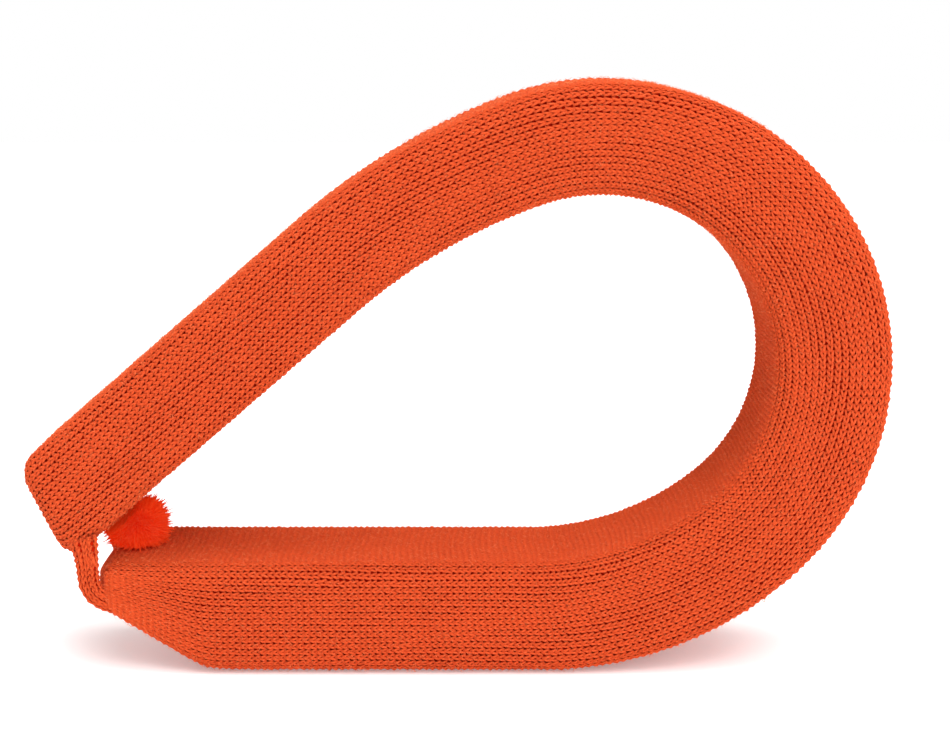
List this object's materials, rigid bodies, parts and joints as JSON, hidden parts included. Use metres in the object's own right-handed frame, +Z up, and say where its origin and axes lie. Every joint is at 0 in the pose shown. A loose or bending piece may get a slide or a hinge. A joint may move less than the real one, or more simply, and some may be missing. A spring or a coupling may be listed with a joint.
{
  "type": "training bumper",
  "caption": "Knitted foam training bumper: a padded bar bent into a teardrop loop that stands on its lower arm, its ends joined by knitted straps with a pompom in the crotch.",
  "frame": {"origin": "under the middle of the loop, on the floor it stands on", "axes": "+X from the knitted neck towards the bow, +Y across the bar away from its front strap, +Z up"},
  "size_m": [0.3194, 0.06, 0.219],
  "materials": {
    "knit": "orange knitted stockinette",
    "seam_yarn": "plied orange yarn",
    "pompom_wool": "cut fluffy red-orange wool",
    "foam": "closed-cell flexible foam"
  },
  "bodies": {
    "lower_arm": {"sleeve_lower": "knit", "sleeve_bow": "knit", "core_lower": "foam", "core_bow": "foam", "end_panel_lower": "knit", "end_seam_lower": "seam_yarn", "neck_strap_front": "knit", "neck_strap_rear": "knit", "neck_stitches_front": "seam_yarn", "neck_stitches_rear": "seam_yarn", "pompom_knot": "pompom_wool"},
    "upper_arm": {"sleeve_upper": "knit", "core_upper": "foam", "end_panel_upper": "knit", "end_seam_upper": "seam_yarn"},
    "pompom": {"pompom_tuft": "pompom_wool", "pompom_binding": "pompom_wool", "pompom_tie": "pompom_wool"}
  },
  "joints": [
    {"name": "neck_hinge", "type": "hinge", "parent": "lower_arm", "child": "upper_arm", "pos_m": [-0.14042, 0, 0.05699], "axis": [0, 1, 0], "range_deg": [-5, 6], "stiffness_Nm_per_rad": 15, "deforming": ["sleeve_bow", "core_bow"]},
    {"name": "pompom_swing", "type": "hinge", "parent": "lower_arm", "child": "pompom", "pos_m": [-0.1261, 0, 0.0429], "axis": [0, 0, 1], "range_deg": [-25, 25], "stiffness_Nm_per_rad": 0.002}
  ]
}
